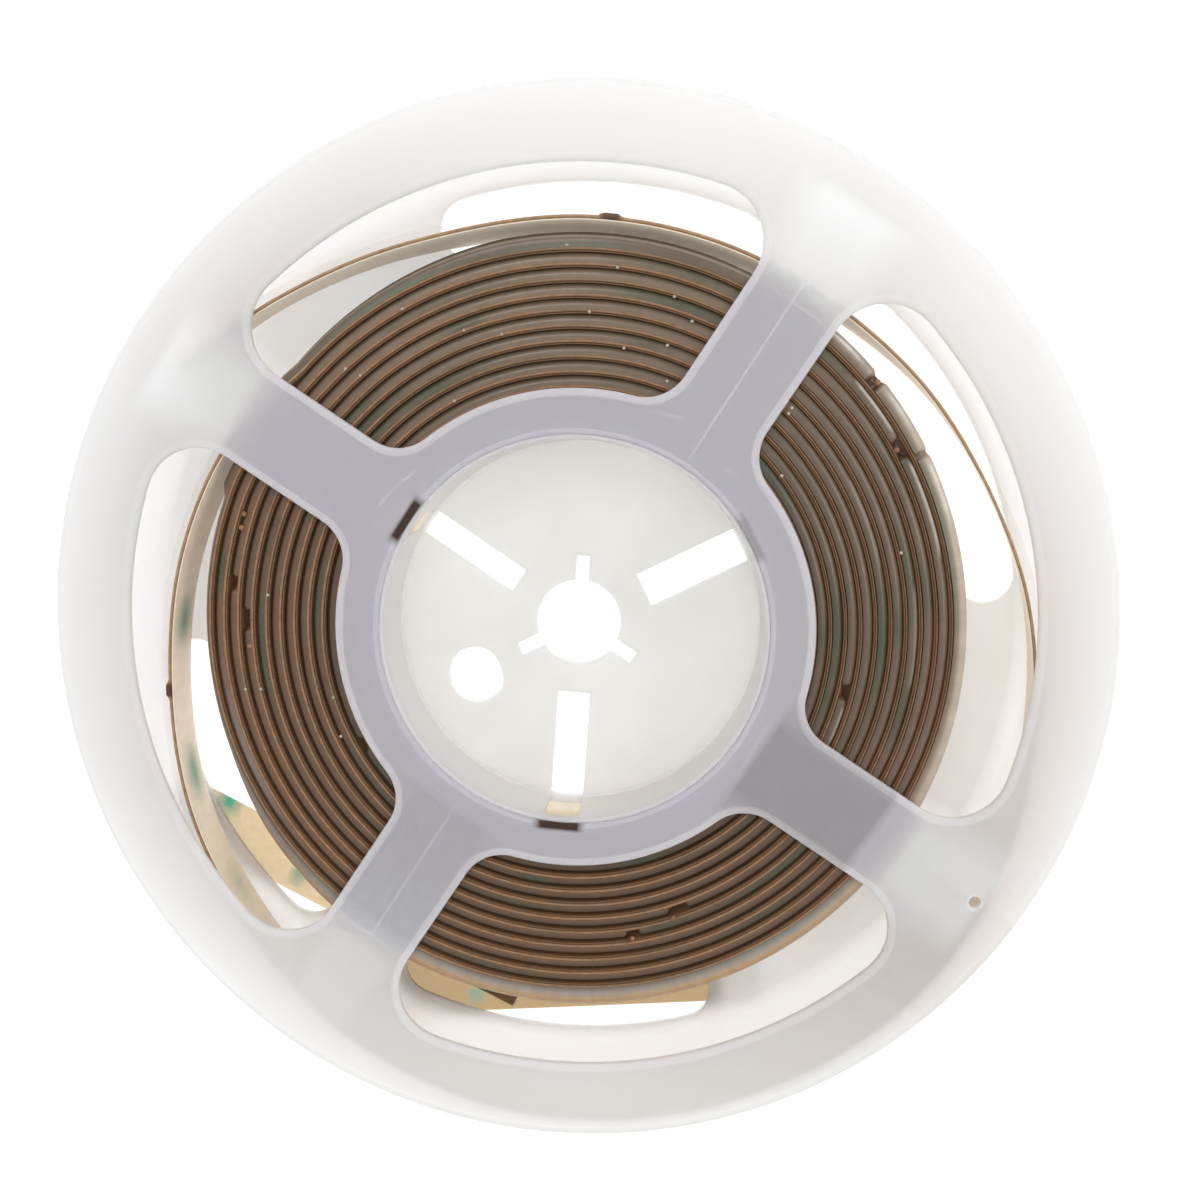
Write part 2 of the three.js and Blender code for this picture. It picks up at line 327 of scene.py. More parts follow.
def front_plastic_material():
    nodes, colour = milky_plastic("milky_plastic_front", (0.955, 0.94, 0.97), (1.19, 1.18, 1.12), FRONT_REACH,
                                  (0.985, 0.98, 0.992), FRONT_LINES)
    # Painted shade: the outermost edge of the rim is darker.
    outermost = radius_share(nodes, 75.9, 76.8)
    colour = nodes.blend(outermost, colour, (0.72, 0.71, 0.70), "MULTIPLY")
    # Painted shade on the lower spokes over the roll, strongest on the lower right one.
    shaded = line_mask(nodes, [(polar(31, -34), polar(53, -34), 26, 1), (polar(31, 236), polar(54, 236), 26, 0.55),
                               ((50, -57), (61, -39), 26, 0.3)])
    colour = nodes.blend(shaded, colour, (0.52, 0.51, 0.515), "MULTIPLY")
    # Painted shade: dark marks by the collar, over the wall slots.
    slot_shade = line_mask(nodes, RING_SLOT_SHADE)
    colour = nodes.blend(slot_shade, colour, linear((66, 40, 20)))
    nodes.join(colour, nodes.shader.inputs["Base Color"])
    # Painted light: the plate glows faintly over the roll, less on the painted shade and not beyond the roll's edge,
    # more at the spoke ends and along the lower rim, and not on the dark marks by the collar.
    glow = nodes.blend(shaded, (0.046, 0.036, 0.058), (0.012, 0.008, 0.016))
    glow = nodes.blend(radius_share(nodes, 55, 59), glow, (0.0, 0.0, 0.0))
    ends = line_mask(nodes, [(polar(56.5, angle), polar(72, angle), 20, 1)
                             for angle in (SPOKE_ANGLE + 90 * k for k in range(4))])
    flat = nodes.add("Mapping")
    flat.inputs["Scale"].default_value = (1, 1, 0)
    nodes.join(nodes.place(), flat.inputs["Vector"])
    lower = nodes.add("VectorMath", operation="DOT_PRODUCT")
    lower.inputs[1].default_value = (-0.3, -0.95, 0)
    nodes.join(flat.outputs["Vector"], lower.inputs[0])
    lower = nodes.grey(lower.outputs["Value"], 0, 0.8, 0.040, 0.066)
    lower = nodes.math("MULTIPLY", lower, nodes.math("SUBTRACT", 1.0, outermost))
    glowing_places = nodes.math("MAXIMUM", ends, lower)
    glow = nodes.blend(glowing_places, glow, (0.105, 0.125, 0.13))
    glow = nodes.blend(slot_shade, glow, (0.0, 0.0, 0.0))
    nodes.join(glow, nodes.shader.inputs["Emission Color"])
    nodes.set(Emission_Strength=1.0)
    nodes.material.cycles.emission_sampling = "NONE"
    return nodes.material


def rear_plastic_material():
    """Paler under the front flange's rim and spoke ends, painted so that more light comes through to the rim, and
    darker in the hub: painted light and painted shade.
    """
    nodes, colour = milky_plastic("milky_plastic_rear", (0.69, 0.682, 0.667), (1.0, 1.0, 1.0), REAR_REACH,
                                  (0.90, 0.888, 0.862))
    # Painted light: a paler colour where the front rim and spoke ends cover it.
    clear = radius_share(nodes, 65.5, 68)
    spokes = [(spoke_point(54, 0, axis), spoke_point(72, 0, axis), 17, 1)
              for axis in (SPOKE_ANGLE + 90 * k for k in range(4))]
    clear = nodes.math("MAXIMUM", clear, line_mask(nodes, spokes))
    colour = nodes.blend(clear, colour, (0.97, 0.96, 0.945))
    # Painted shade: darker in the hub recess.
    hub = radius_share(nodes, 27.7, 27.5)
    colour = nodes.blend(hub, colour, (0.87, 0.852, 0.838), "MULTIPLY")
    nodes.join(colour, nodes.shader.inputs["Base Color"])
    return nodes.material


def coating_material(name, loose=False):
    """Clear coating over the tape, its vertex tint giving what lies under it together with painted light, shade and
    glints. Where it hangs free, light passes through it.
    """
    nodes = Nodes(name)
    tint = nodes.add("VertexColor", layer_name="tint").outputs["Color"]
    streaks = nodes.noise(60, 4, 0.6, nodes.add("UVMap").outputs["UV"], (6, 0.6, 1))
    shade = nodes.grey(streaks, 0.86, 1.14, 0.25, 0.75)
    grain = nodes.add("CombineColor")
    for channel in range(3):
        nodes.join(shade, grain.inputs[channel])
    nodes.join(nodes.blend(1.0, tint, grain.outputs[0], "MULTIPLY"), nodes.shader.inputs["Base Color"])
    nodes.set(Coat_Weight=0.55, Coat_Roughness=0.22, IOR=1.42)
    nodes.join(nodes.grey(nodes.noise(300, 3), 0.3, 0.45, 0.3, 0.7), nodes.shader.inputs["Roughness"])
    if loose:
        nodes.set(Alpha=0.08, Coat_Weight=0.0)
    else:
        nodes.bump(nodes.noise(420, 3), 0.2, 0.0002)
    return nodes.material


def tape_material():
    """Copper-clad tape with its brown cover film."""
    nodes = Nodes("copper_tape")
    tint = nodes.add("VertexColor", layer_name="tint").outputs["Color"]
    fleck = nodes.noise(900, 4)
    shade = nodes.blend(nodes.grey(fleck, 0, 0.35, 0.4, 0.7), tint, linear((92, 66, 44)))
    nodes.join(shade, nodes.shader.inputs["Base Color"])
    nodes.set(IOR=1.5)
    nodes.join(nodes.grey(fleck, 0.35, 0.6), nodes.shader.inputs["Roughness"])
    nodes.bump(fleck, 0.3, 0.00008)
    return nodes.material


def liner_material(name, print_share, thin=False):
    """Waxed liner with plain green blocks in rows, its paper coloured by vertex. UV is in metres along and across."""
    nodes = Nodes(name)
    uv = nodes.add("UVMap").outputs["UV"]
    rows = nodes.add("TexBrick", offset=0.37, offset_frequency=2)
    rows.inputs["Color1"].default_value = (1, 1, 1, 1)
    rows.inputs["Color2"].default_value = (0.2, 0.2, 0.2, 1)
    rows.inputs["Mortar"].default_value = (0, 0, 0, 1)
    rows.inputs["Scale"].default_value = 1
    rows.inputs["Mortar Size"].default_value = 0.0011
    rows.inputs["Mortar Smooth"].default_value = 0.25
    rows.inputs["Brick Width"].default_value = 0.0105
    rows.inputs["Row Height"].default_value = 0.0047
    nodes.join(uv, rows.inputs["Vector"])
    chosen = nodes.grey(nodes.noise(55, 1, 0.5, uv, (1, 0.35, 1)), 0, 1, print_share, print_share + 0.03)
    ink = nodes.add("Math", operation="MULTIPLY")
    nodes.join(rows.outputs["Color"], ink.inputs[0])
    nodes.join(chosen, ink.inputs[1])
    fibre = nodes.noise(700, 5, 0.6, nodes.place(), (1, 1, 0.4))
    painted = nodes.add("VertexColor", layer_name="tint")
    paper = painted.outputs["Color"]
    mottle = nodes.ramp(fibre, [(0.3, (0.86, 0.86, 0.86)), (0.7, (1, 1, 1))])
    base = nodes.blend(1.0, paper, mottle, "MULTIPLY")
    green = linear((58, 108, 70))
    nodes.join(nodes.blend(ink.outputs[0], base, green), nodes.shader.inputs["Base Color"])
    nodes.join(nodes.grey(fibre, 0.4, 0.62), nodes.shader.inputs["Roughness"])
    if thin:
        nodes.shader.subsurface_method = "RANDOM_WALK"
        nodes.set(Subsurface_Weight=1.0, Subsurface_Radius=(1, 0.95, 0.85), Subsurface_Scale=0.001)
        nodes.join(painted.outputs["Alpha"], nodes.shader.inputs["Alpha"])
    else:
        # Painted light: the paper glows faintly with its own colour, lifting its shaded faces.
        nodes.join(base, nodes.shader.inputs["Emission Color"])
        nodes.set(Emission_Strength=0.2)
        nodes.material.cycles.emission_sampling = "NONE"
    nodes.bump(fibre, 0.15, 0.0001)
    return nodes.material


# Meshes.
def build(name, points, faces, material, replaced=None):
    """Makes a piece from points in millimetres."""
    mesh = bpy.data.meshes.new(name)
    mesh.from_pydata([(x * MM, y * MM, z * MM) for x, y, z in points], [], faces)
    mesh.validate()
    mesh.update()
    piece = bpy.data.objects.new(name, mesh)
    bpy.context.scene.collection.objects.link(piece)
    mesh.polygons.foreach_set("use_smooth", [True] * len(mesh.polygons))
    mesh.materials.append(material)
    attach(piece, "root")
    if replaced:
        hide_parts(replaced)
    return piece


def turned(points, degrees):
    c, s = math.cos(math.radians(degrees)), math.sin(math.radians(degrees))
    return [(x * c - y * s, x * s + y * c) for x, y in points]


def arc(cx, cy, radius, start, end, steps):
    """Points from angle start to angle end, in radians, both ends included."""
    angles = [start + (end - start) * i / steps for i in range(steps + 1)]
    return [(cx + radius * math.cos(a), cy + radius * math.sin(a)) for a in angles]


def disc(radius, steps, centre=(0, 0), stretch=1.0):
    return [(centre[0] + radius * math.cos(2 * math.pi * i / steps),
             centre[1] + radius * stretch * math.sin(2 * math.pi * i / steps)) for i in range(steps)]


def tidy(points, nearest=0.02):
    kept = []
    for point in points:
        if not kept or math.dist(point, kept[-1]) > nearest:
            kept.append(point)
    if math.dist(kept[0], kept[-1]) <= nearest:
        kept.pop()
    return kept


def front_window():
    side = SPOKE_WIDTH / 2
    quarter = math.pi / 2
    root = math.sqrt((HUB_RING_R + SPOKE_ROOT) ** 2 - (side + SPOKE_ROOT) ** 2)
    root_turn = math.atan2(side + SPOKE_ROOT, root)
    corner = math.sqrt((WINDOW_R - WINDOW_CORNER) ** 2 - (side + WINDOW_CORNER) ** 2)
    corner_turn = math.atan2(side + WINDOW_CORNER, corner)
    points = arc(corner, side + WINDOW_CORNER, WINDOW_CORNER, -quarter, corner_turn, 14)
    points += arc(0, 0, WINDOW_R, corner_turn, quarter - corner_turn, 40)
    points += arc(side + WINDOW_CORNER, corner, WINDOW_CORNER, quarter - corner_turn, 2 * quarter, 14)
    points += arc(side + SPOKE_ROOT, root, SPOKE_ROOT, 2 * quarter, 3 * quarter - root_turn, 14)
    points += arc(0, 0, HUB_RING_R, quarter - root_turn, root_turn, 24)
    points += arc(root, side + SPOKE_ROOT, SPOKE_ROOT, 2 * quarter + root_turn, 3 * quarter, 14)
    return tidy(points)


def rear_window():
    side = SPOKE_WIDTH / 2
    quarter = math.pi / 2
    corner = math.sqrt((WINDOW_R - REAR_SPOKE_CORNER) ** 2 - (side + REAR_SPOKE_CORNER) ** 2)
    corner_turn = math.atan2(side + REAR_SPOKE_CORNER, corner)
    end_x = REAR_CHORD + REAR_END_CORNER
    end_y = math.sqrt((WINDOW_R - REAR_END_CORNER) ** 2 - end_x ** 2)
    end_turn = math.atan2(end_y, end_x)
    points = arc(corner, side + REAR_SPOKE_CORNER, REAR_SPOKE_CORNER, -quarter, corner_turn, 14)
    points += arc(0, 0, WINDOW_R, corner_turn, end_turn, 36)
    points += arc(end_x, end_y, REAR_END_CORNER, end_turn, 2 * quarter, 10)
    points += arc(end_x, side + REAR_END_CORNER, REAR_END_CORNER, 2 * quarter, 3 * quarter, 10)
    return tidy(points)


def mirrored(points):
    return [(x, -y) for x, y in reversed(points)]


def arbor_hole():
    half = math.asin(KEYWAY[0] / 2 / ARBOR_R)
    points = []
    for key in range(3):
        axis = math.radians(FLOOR_SLOT_ANGLE + 60 + 120 * key)
        along = Vector((math.cos(axis), math.sin(axis)))
        across = Vector((-math.sin(axis), math.cos(axis))) * KEYWAY[0] / 2
        tip = ARBOR_R + KEYWAY[1]
        root = ARBOR_R * math.cos(half)
        for distance, side in ((root, -1), (tip, -1), (tip, 1), (root, 1)):
            point = along * distance + across * side
            points.append((point.x, point.y))
        points += arc(0, 0, ARBOR_R, axis + half, axis + math.radians(120) - half, 28)[1:-1]
    return points


def floor_slot(index):
    half = FLOOR_SLOT_WIDTHS[index] / 2
    far = (HUB_BORE_R + BARREL_R) / 2
    corners = [(FLOOR_SLOT_START, -half), (far, -half), (far, half), (FLOOR_SLOT_START, half)]
    return turned(corners, FLOOR_SLOT_ANGLE + 120 * index)


def sight_hole():
    """An egg that points up and to the right."""
    cx, cy = polar(18.2, 208)
    points = []
    for i in range(48):
        a = 2 * math.pi * i / 48
        point = 1 + 0.13 * max(0.0, math.cos(a - math.radians(-38))) ** 4 + 0.06 * max(0.0, math.cos(a - 1.9)) ** 2
        points.append((cx - 0.15 + 4.05 * point * math.cos(a), cy + 4.35 * math.sin(a)))
    return points


def signed_area(points):
    return sum(a[0] * b[1] - b[0] * a[1] for a, b in zip(points, points[1:] + points[:1])) / 2


def inset(points, distance):
    """Moves a counter-clockwise loop inward by a distance, keeping its corners."""
    out = []
    count = len(points)
    for i in range(count):
        before, here, after = Vector(points[i - 1]), Vector(points[i]), Vector(points[(i + 1) % count])
        first = (here - before).normalized()
        second = (after - here).normalized()
        normal = Vector((-first.y - second.y, first.x + second.x))
        normal.normalize()
        reach = distance / max(0.35, normal.dot(Vector((-first.y, first.x))))
        out.append((here.x + normal.x * reach, here.y + normal.y * reach))
    return out


def plate(outer, holes, low, high, edge, steps=3, lip=1.25, sunk=0.07):
    """A closed flat plate with rounded edges and a slightly raised lip along every edge.

    A hole is its outline, the width of its lip and the radius of its edges. Gives points, faces, and for
    each point 1 on a lip or 0 inside it.
    """
    loops = [(outer if signed_area(outer) > 0 else outer[::-1], lip, edge)]
    loops += [(hole if signed_area(hole) < 0 else hole[::-1], width, radius) for hole, width, radius in holes]
    quarter = [math.pi / 2 * i / steps for i in range(steps + 1)]
    points, faces, on_lip, caps = [], [], [], ([], [])
    for loop, width, edge in loops:
        rounded = [(edge * (1 - math.sin(a)), low + edge * (1 - math.cos(a))) for a in quarter]
        rounded += [(edge * (1 - math.cos(a)), high - edge * (1 - math.sin(a))) for a in quarter]
        first = len(points)
        count = len(loop)
        crest = max(edge + 0.02, width - 0.25)
        levels = [(width, low)] + rounded + [(crest, high), (width, high - sunk)]
        for away, height in levels:
            points += [(x, y, height) for x, y in inset(loop, away)]
            on_lip += [0.0 if away >= width else 1.0] * count
        for level in range(len(levels) - 1):
            for i in range(count):
                a = first + level * count + i
                b = first + level * count + (i + 1) % count
                faces.append((a, b, b + count, a + count))
        caps[0].append(range(first, first + count))
        top = first + (len(levels) - 1) * count
        caps[1].append(range(top, top + count))
    for side, cap in enumerate(caps):
        order = [index for loop in cap for index in loop]
        triangles = tessellate_polygon([[Vector(points[i]) for i in loop] for loop in cap])
        for triangle in triangles:
            a, b, c = (order[i] for i in triangle)
            pa, pb, pc = points[a], points[b], points[c]
            upward = (pb[0] - pa[0]) * (pc[1] - pa[1]) - (pb[1] - pa[1]) * (pc[0] - pa[0])
            if abs(upward) < 1e-12:
                continue
            if (upward > 0) != (side == 1):
                b, c = c, b
            faces.append((a, b, c))
    return points, faces, on_lip


def turned_ring(profile, steps=180):
    """A closed ring round the axis from a closed profile of radius and height."""
    points = [(r * math.cos(2 * math.pi * i / steps), r * math.sin(2 * math.pi * i / steps), z)
              for i in range(steps) for r, z in profile]
    count = len(profile)
    faces = []
    for i in range(steps):
        for j in range(count):
            a = i * count + j
            b = i * count + (j + 1) % count
            c = (i + 1) % steps * count + (j + 1) % count
            d = (i + 1) % steps * count + j
            faces.append((a, d, c, b))
    return points, faces


def paint(piece, name, colours):
    """Stores one colour for each vertex, opaque where it has only three parts."""
    layer = piece.data.color_attributes.new(name, "FLOAT_COLOR", "POINT")
    layer.data.foreach_set("color", [c for colour in colours for c in (*colour, 1.0)[:4]])


def steady_normals(piece, degrees=40):
    piece.data.set_sharp_from_angle(angle=math.radians(degrees))
    weighted = piece.modifiers.new("steady_normals", "WEIGHTED_NORMAL")
    weighted.mode = "FACE_AREA"
    weighted.weight = 100
    weighted.keep_sharp = True


def spoke_point(along, across, axis):
    return turned([(along, across)], axis)[0]


# Faint raised lines of the front moulding: along two spokes, across their outer ends, and at the hub ring.
FRONT_LINES = []
for axis in (SPOKE_ANGLE, SPOKE_ANGLE + 180):
    FRONT_LINES.append((spoke_point(29.5, 0, axis), spoke_point(60, 0.4, axis), 0.5, 0.9))
    FRONT_LINES.append((spoke_point(55.6, -5.2, axis), spoke_point(55.6, 5.2, axis), 0.7, 0.55))
FRONT_LINES += [((-28.6, 17.6), (-25.6, 20.9), 0.6, 0.9), ((-25.8, 20.7), (-22.2, 23.4), 0.6, 0.9),
                ((11.0, 31.7), (16.7, 30.3), 0.6, 0.6), ((20.9, 24.0), (23.1, 22.6), 0.9, 0.9),
                ((23.7, -21.7), (28.4, -12.7), 0.5, 0.7)]

# Painted shade in the ring beside the collar, over the wall slots: dark marks where the shadowed innermost turn shows
# through. Ends, width and strength.
RING_SLOT_SHADE = []
for radius, angle, half, strength in ((28.75, 28.2, 4.3, 0.55), (28.95, 146.2, 4.4, 1.0), (28.85, 265.8, 4.2, 1.0)):
    RING_SLOT_SHADE.append((spoke_point(radius, -half, angle), spoke_point(radius, half, angle), 2.3, strength))

front_plastic = front_plastic_material()
rear_plastic = rear_plastic_material()

front_holes = [(disc(FRONT_HOLE_R, 144), 0.9, 0.08)]
front_holes += [(turned(front_window(), SPOKE_ANGLE + 90 * k), 1.25, 0.32) for k in range(4)]
front_holes.append((disc(RIM_HOLE[2], 24, polar(RIM_HOLE[0], RIM_HOLE[1])), 0.45, 0.2))
points, faces, on_lip = plate(disc(FLANGE_R, 288), front_holes, FRONT_Z[0], FRONT_Z[1], 0.32)
front = build("front_flange_moulding", points, faces, front_plastic, "front_flange")
paint(front, "edge", [(value, value, value) for value in on_lip])
steady_normals(front)


def scratch_piece(points, faces):
    """A mesh used only to cut or fill another one."""
    mesh = bpy.data.meshes.new("tool")
    mesh.from_pydata([(x * MM, y * MM, z * MM) for x, y, z in points], [], faces)
    mesh.update()
    piece = bpy.data.objects.new("tool", mesh)
    bpy.context.scene.collection.objects.link(piece)
    return piece


def combine(target, tools, operation):
    for tool in tools:
        modifier = target.modifiers.new("combine", "BOOLEAN")
        modifier.operation = operation
        modifier.solver = "EXACT"
        modifier.object = tool
    bpy.context.view_layer.update()
    depsgraph = bpy.context.evaluated_depsgraph_get()
    result = bpy.data.meshes.new_from_object(target.evaluated_get(depsgraph))
    target.modifiers.clear()
    target.data = result
    for tool in tools:
        bpy.data.objects.remove(tool)


rear_holes = [(arbor_hole(), 0.4, 0.3), (sight_hole(), 0.45, 0.3)]
for axis in (SPOKE_ANGLE, SPOKE_ANGLE + 180):
    rear_holes += [(turned(rear_window(), axis), 0.8, 0.3), (turned(mirrored(rear_window()), axis), 0.8, 0.3)]
rear_holes += [(floor_slot(k), 0.4, 0.3) for k in range(3)]
points, faces, on_lip = plate(disc(FLANGE_R, 288), rear_holes, REAR_Z[0], REAR_Z[1], 0.3)
rear = build("rear_flange_moulding", points, faces, rear_plastic, "rear_flange")
middle = sum(REAR_Z) / 2
barrel = turned_ring([
    (HUB_BORE_R, middle), (BARREL_R, middle), (BARREL_R, FRONT_Z[0] - 0.15),
    (BARREL_R - 0.15, FRONT_Z[0]), (COLLAR_R, FRONT_Z[0]), (COLLAR_R, FRONT_Z[1] - 0.2),
    (COLLAR_R - 0.2, FRONT_Z[1]), (HUB_BORE_R + 0.2, FRONT_Z[1]), (HUB_BORE_R, FRONT_Z[1] - 0.2),
    (HUB_BORE_R, REAR_Z[1] + 0.35), (HUB_BORE_R - 0.1, REAR_Z[1] + 0.1), (HUB_BORE_R - 0.35, REAR_Z[1]),
    (HUB_BORE_R - 0.35, middle),
])
base_ring = turned_ring([
    (BASE_RING[0] + 0.2, 0), (BASE_RING[1] - 0.2, 0), (BASE_RING[1], 0.2),
    (BASE_RING[1], middle), (BASE_RING[0], middle), (BASE_RING[0], 0.2),
])
combine(rear, [scratch_piece(*barrel), scratch_piece(*base_ring)], "UNION")
cutters = []
for index, width in enumerate(FLOOR_SLOT_WIDTHS):
    half, low, high, corner = width / 2, WALL_SLOT_Z[0], WALL_SLOT_Z[1], 1.0
    outline = []
    for cx, cz, start in ((half - corner, low + corner, -90), (half - corner, high - corner, 0),
                          (corner - half, high - corner, 90), (corner - half, low + corner, 180)):
        outline += arc(cx, cz, corner, math.radians(start), math.radians(start + 90), 5)
    near, far = HUB_BORE_R - 2.5, BARREL_R + 2.5
    ring = [(near, y, z) for y, z in outline] + [(far, y, z) for y, z in outline]
    count = len(outline)
    sides = [(i, (i + 1) % count, (i + 1) % count + count, i + count) for i in range(count)]
    sides += [tuple(reversed(range(count))), tuple(range(count, 2 * count))]
    c, s = polar(1, FLOOR_SLOT_ANGLE + 120 * index)
    cutters.append(scratch_piece([(x * c - y * s, x * s + y * c, z) for x, y, z in ring], sides))
combine(rear, cutters, "DIFFERENCE")


def on_barrel(vertex):
    x, y, z = vertex.co
    return HUB_BORE_R - 0.3 < math.hypot(x, y) / MM < BARREL_R + 0.3 and z > (REAR_Z[1] + 0.2) * MM


# Painted light: the barrel takes the paler lip colour and shorter reach, lifting the shade on its walls.
paint(rear, "edge", [(1, 1, 1) if on_barrel(vertex) else (0, 0, 0) for vertex in rear.data.vertices])
steady_normals(rear)


# The strip's route: where the tape's inner face runs, seen from above.
def wound_line(degrees):
    start = STEP_ANGLE + STEP_SPAN
    turn = math.floor((degrees - start) / 360)
    within = degrees - start - 360 * turn
    return FIRST_LINE + PITCH * (turn + smooth(within, 360 - STEP_SPAN, 360)), turn


def catmull(bends, per_span):
    """A centripetal Catmull-Rom curve through the bends, as close points."""
    bends = [Vector(b) for b in bends]
    ends = [bends[0] * 2 - bends[1]] + bends + [bends[-1] * 2 - bends[-2]]
    out = []
    for k in range(len(bends) - 1):
        p0, p1, p2, p3 = ends[k:k + 4]
        d0, d1, d2 = ((b - a).length ** 0.5 for a, b in ((p0, p1), (p1, p2), (p2, p3)))
        t1 = ((p1 - p0) / d0 - (p2 - p0) / (d0 + d1) + (p2 - p1) / d1) * d1
        t2 = ((p2 - p1) / d1 - (p3 - p1) / (d1 + d2) + (p3 - p2) / d2) * d1
        for i in range(per_span):
            t = i / per_span
            out.append(p1 + t1 * t + (p1 * -3 + p2 * 3 - t1 * 2 - t2) * t * t
                       + (p1 * 2 - p2 * 2 + t1 + t2) * t ** 3)
    out.append(bends[-1])
    return out


def evenly(points, count):
    lengths = [0.0]
    for a, b in zip(points, points[1:]):
        lengths.append(lengths[-1] + (b - a).length)
    out = []
    j = 0
    for i in range(count + 1):
        want = lengths[-1] * i / count
        while j < len(points) - 2 and lengths[j + 1] < want:
            j += 1
        share = (want - lengths[j]) / max(1e-9, lengths[j + 1] - lengths[j])
        out.append(points[j].lerp(points[j + 1], share))
    return out


WOUND_STEPS = 200
LOOSE_STEPS = 900


def side_share(degrees, centre, half):
    """1 in the middle of a side, falling softly to 0 at half degrees either way."""
    away = abs((degrees - centre + 180) % 360 - 180)
    return 1 - smooth(away, 0, half)


# Ends of coating lengths at the strip's joints: turn, angle, half length, how deep.
JOINTS = [(11, 40.0, 1.0, 1.0), (11, 27.4, 0.5, 0.5), (10, 29.6, 1.3, 1.0), (4, 347.6, 1.0, 0.9),
          (9, 172.5, 1.0, 0.7), (8, 178.6, 1.4, 1.0), (6, 290.5, 1.3, 0.9), (7, 281.0, 0.9, 0.7), (2, 209.0, 1.0, 0.6)]
LOOSE_JOINTS = [(189.0, 1.1, 0.5), (84.8, 1.4, 0.45)]
LOOSE_LEAN_SIDES = ((10, 50, 0.9), (80, 62, -2.3))


def strip_route():
    """Sections along the strip: place, outward direction, turn number, loosened share, length so far."""
    start = STEP_ANGLE + STEP_SPAN
    end = STEP_ANGLE + 360 * TURNS
    count = round((end - start) / 360 * WOUND_STEPS)
    stops = {start + (end - start) * i / count for i in range(count)}
    for turn, angle, half, deep in JOINTS:
        centre = start + 360 * turn + (angle - start) % 360
        stops |= {centre + 0.25 * i for i in range(-14, 15)}
    places, turns = [], []
    stops = sorted(stops)
    count = len(stops)
    for degrees in stops:
        radius, turn = wound_line(degrees)
        places.append(Vector(polar(radius, degrees)))
        turns.append(turn)
    bends = [polar(LAST_LINE + LOOSE_ROOM * share, degrees) for degrees, share in LOOSE_ROUTE]
    loose = evenly(catmull(bends, 40), LOOSE_STEPS)
    loosened = [0.0] * count + [i / len(loose) for i in range(len(loose))]
    places += loose
    turns += [TURNS] * len(loose)
    route = []
    length = 0.0
    for i, place in enumerate(places):
        ahead, behind = places[min(i + 1, len(places) - 1)], places[max(i - 1, 0)]
        along = (ahead - behind).normalized()
        if i:
            length += (place - places[i - 1]).length
        reach = 1 - place.length / (FLANGE_R - RIM_MARGIN - STRIP_THICKNESS)
        degrees = math.degrees(math.atan2(place.y, place.x)) % 360
        lean = LOOSE_LEAN + sum(more * side_share(degrees, side, half) for side, half, more in LOOSE_LEAN_SIDES)
        lean *= smooth(loosened[i], 0, 0.15) * min(1.0, max(0.0, reach * 12))
        route.append((place, Vector((along.y, -along.x)), turns[i], loosened[i], length, lean, degrees))
    return route


ROUTE = strip_route()


def joint_depth(turn, loosened, degrees, radius):
    depth = 0.0
    for where, angle, half, deep in JOINTS:
        if where == turn:
            away = abs((degrees - angle + 180) % 360 - 180) * math.pi / 180 * radius
            depth = max(depth, deep * (1 - smooth(away, half * 0.4, half * 1.4)))
    if turn == TURNS:
        for angle, half, deep in LOOSE_JOINTS:
            away = abs((degrees - angle + 180) % 360 - 180) * math.pi / 180 * radius
            depth = max(depth, deep * (1 - smooth(away, half * 0.7, half * 1.3)))
    return depth


def sweep(profile_at, colour_at=None):
    """A closed band along the route. profile_at gives (outward, height) pairs for a section."""
    points, faces, colours, uvs = [], [], [], []
    count = None
    for section in ROUTE:
        place, outward, turn, loosened, length, lean, degrees = section
        profile = profile_at(section)
        count = len(profile)
        for k, (away, height) in enumerate(profile):
            away += lean * (STRIP_Z[1] - height) / (STRIP_Z[1] - STRIP_Z[0])
            points.append((place.x + outward.x * away, place.y + outward.y * away, height))
            uvs.append((length * MM, k))
            if colour_at:
                colours.append(colour_at(section, k, count))
    sections = len(ROUTE)
    for i in range(sections - 1):
        for k in range(count):
            a, b = i * count + k, i * count + (k + 1) % count
            faces.append((a, b, b + count, a + count))
    faces.append(tuple(range(count - 1, -1, -1)))
    last = (sections - 1) * count
    faces.append(tuple(range(last, last + count)))
    return points, faces, colours, uvs


def unwrap(piece, place_of):
    """Sets UVs, in metres, from each vertex."""
    layer = piece.data.uv_layers.new(name="UVMap")
    flat = []
    for loop in piece.data.loops:
        flat += place_of(loop.vertex_index)
    layer.data.foreach_set("uv", flat)


WHITISH = linear((252, 250, 247))
GREEN = linear((48, 74, 50))
TEAL = linear((104, 146, 130))
# HOLLOW is painted shade: the dark of the innermost turn's shadowed face.
HOLLOW = linear((66, 42, 24))
JOINT_HOLLOW = linear((96, 66, 42))
GLINT = linear((240, 236, 228))
LILAC = linear((136, 121, 114))

# Colours across the coating, from its inner to its outer side, as seen on each side of the roll: the changes by side
# and the darker outer side are painted light and shade.
# Each side is its angle, how far it reaches either way, and stops of share and colour.
COAT_SIDES = (
    (90, 75, ((0, (142, 119, 96)), (0.5, (122, 104, 84)), (1, (84, 73, 56)))),
    (8, 70, ((0, (98, 80, 62)), (0.45, (116, 97, 78)), (0.8, (130, 111, 91)), (1, (96, 76, 57)))),
    (185, 75, ((0, (122, 91, 65)), (0.4, (108, 79, 55)), (0.62, (72, 51, 32)), (1, (56, 39, 24)))),
    (272, 75, ((0, (120, 89, 62)), (0.35, (98, 71, 48)), (0.6, (64, 45, 28)), (1, (50, 35, 20)))),
)
